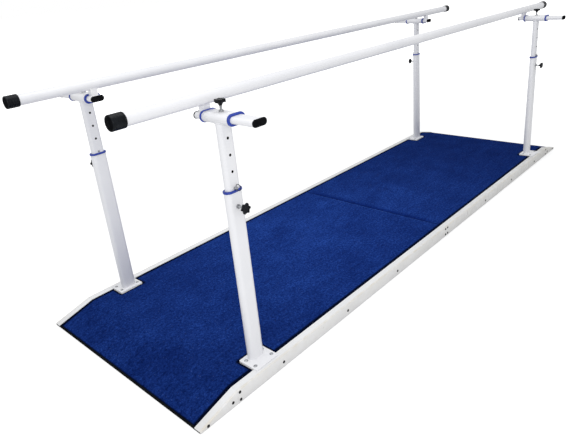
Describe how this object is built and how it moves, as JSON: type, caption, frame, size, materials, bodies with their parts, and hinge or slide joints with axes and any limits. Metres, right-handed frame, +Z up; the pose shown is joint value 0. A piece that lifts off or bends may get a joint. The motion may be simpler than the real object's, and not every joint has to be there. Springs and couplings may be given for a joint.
{
  "type": "rehab walking parallel bars",
  "caption": "Gait-training parallel bars: carpeted platform with ramped ends, telescopic pinned posts, and round hand bars that adjust in height and spacing.",
  "frame": {"origin": "on the floor under the middle of the platform", "axes": "+X along the hand bars, +Y towards the left bar, +Z up"},
  "size_m": [3, 1.0786, 0.9336],
  "materials": {
    "white_paint": "smooth white powder coat",
    "board": "plywood",
    "carpet": "short needle-punch pile",
    "rubber_edge": "matt black",
    "blue_plastic": "satin moulded",
    "black_plastic": "satin moulded",
    "steel": "plated"
  },
  "bodies": {
    "base": {"deck_near": "board", "carpet_near": "carpet", "nosing_near": "rubber_edge", "deck_far": "board", "carpet_far": "carpet", "nosing_far": "rubber_edge", "rail_near_left": "white_paint", "ramp_cheek_near_left": "white_paint", "outer_post_near_left": "white_paint", "collar_near_left": "blue_plastic", "rail_near_right": "white_paint", "ramp_cheek_near_right": "white_paint", "outer_post_near_right": "white_paint", "collar_near_right": "blue_plastic", "rail_far_left": "white_paint", "ramp_cheek_far_left": "white_paint", "outer_post_far_left": "white_paint", "collar_far_left": "blue_plastic", "rail_far_right": "white_paint", "ramp_cheek_far_right": "white_paint", "outer_post_far_right": "white_paint", "collar_far_right": "blue_plastic"},
    "left_uprights": {"upright_near_left": "white_paint", "inner_bushing_near_left": "blue_plastic", "outer_bushing_near_left": "blue_plastic", "upright_far_left": "white_paint", "inner_bushing_far_left": "blue_plastic", "outer_bushing_far_left": "blue_plastic"},
    "left_hand_bar": {"hand_bar_left": "white_paint", "arm_near_left": "white_paint", "arm_plug_near_left": "black_plastic", "bar_cap_near_left": "black_plastic", "arm_far_left": "white_paint", "arm_plug_far_left": "black_plastic", "bar_cap_far_left": "black_plastic"},
    "right_uprights": {"upright_near_right": "white_paint", "inner_bushing_near_right": "blue_plastic", "outer_bushing_near_right": "blue_plastic", "upright_far_right": "white_paint", "inner_bushing_far_right": "blue_plastic", "outer_bushing_far_right": "blue_plastic"},
    "right_hand_bar": {"hand_bar_right": "white_paint", "arm_near_right": "white_paint", "arm_plug_near_right": "black_plastic", "bar_cap_near_right": "black_plastic", "arm_far_right": "white_paint", "arm_plug_far_right": "black_plastic", "bar_cap_far_right": "black_plastic"},
    "near_left_height_knob": {"height_knob_near_left": "black_plastic"},
    "near_left_width_knob": {"width_knob_near_left": "black_plastic"},
    "near_left_ring_pin": {"ring_pin_near_left": "steel"},
    "near_right_height_knob": {"height_knob_near_right": "black_plastic"},
    "near_right_width_knob": {"width_knob_near_right": "black_plastic"},
    "near_right_ring_pin": {"ring_pin_near_right": "steel"},
    "far_left_height_knob": {"height_knob_far_left": "black_plastic"},
    "far_left_width_knob": {"width_knob_far_left": "black_plastic"},
    "far_left_ring_pin": {"ring_pin_far_left": "steel"},
    "far_right_height_knob": {"height_knob_far_right": "black_plastic"},
    "far_right_width_knob": {"width_knob_far_right": "black_plastic"},
    "far_right_ring_pin": {"ring_pin_far_right": "steel"}
  },
  "joints": [
    {"name": "left_height", "type": "slide", "parent": "base", "child": "left_uprights", "axis": [0, 0, 1], "range_m": [0, 0.15]},
    {"name": "left_width", "type": "slide", "parent": "left_uprights", "child": "left_hand_bar", "axis": [0, -1, 0], "range_m": [0, 0.084]},
    {"name": "right_height", "type": "slide", "parent": "base", "child": "right_uprights", "axis": [0, 0, 1], "range_m": [0, 0.15]},
    {"name": "right_width", "type": "slide", "parent": "right_uprights", "child": "right_hand_bar", "axis": [0, 1, 0], "range_m": [0, 0.084]},
    {"name": "near_left_height_clamp", "type": "hinge", "parent": "base", "child": "near_left_height_knob", "pos_m": [-1.2, 0.425, 0.596], "axis": [0, 1, 0], "range_deg": [0, 720]},
    {"name": "near_left_width_clamp", "type": "hinge", "parent": "left_uprights", "child": "near_left_width_knob", "pos_m": [-1.2, 0.389, 0.896], "axis": [0, 0, 1], "range_deg": [0, 720]},
    {"name": "near_left_pin_pull", "type": "slide", "parent": "left_uprights", "child": "near_left_ring_pin", "axis": [0, 1, 0], "range_m": [0, 0.03]},
    {"name": "near_right_height_clamp", "type": "hinge", "parent": "base", "child": "near_right_height_knob", "pos_m": [-1.2, -0.425, 0.596], "axis": [0, -1, 0], "range_deg": [0, 720]},
    {"name": "near_right_width_clamp", "type": "hinge", "parent": "right_uprights", "child": "near_right_width_knob", "pos_m": [-1.2, -0.389, 0.896], "axis": [0, 0, 1], "range_deg": [0, 720]},
    {"name": "near_right_pin_pull", "type": "slide", "parent": "right_uprights", "child": "near_right_ring_pin", "axis": [0, -1, 0], "range_m": [0, 0.03]},
    {"name": "far_left_height_clamp", "type": "hinge", "parent": "base", "child": "far_left_height_knob", "pos_m": [1.2, 0.425, 0.596], "axis": [0, 1, 0], "range_deg": [0, 720]},
    {"name": "far_left_width_clamp", "type": "hinge", "parent": "left_uprights", "child": "far_left_width_knob", "pos_m": [1.2, 0.389, 0.896], "axis": [0, 0, 1], "range_deg": [0, 720]},
    {"name": "far_left_pin_pull", "type": "slide", "parent": "left_uprights", "child": "far_left_ring_pin", "axis": [0, 1, 0], "range_m": [0, 0.03]},
    {"name": "far_right_height_clamp", "type": "hinge", "parent": "base", "child": "far_right_height_knob", "pos_m": [1.2, -0.425, 0.596], "axis": [0, -1, 0], "range_deg": [0, 720]},
    {"name": "far_right_width_clamp", "type": "hinge", "parent": "right_uprights", "child": "far_right_width_knob", "pos_m": [1.2, -0.389, 0.896], "axis": [0, 0, 1], "range_deg": [0, 720]},
    {"name": "far_right_pin_pull", "type": "slide", "parent": "right_uprights", "child": "far_right_ring_pin", "axis": [0, -1, 0], "range_m": [0, 0.03]}
  ]
}
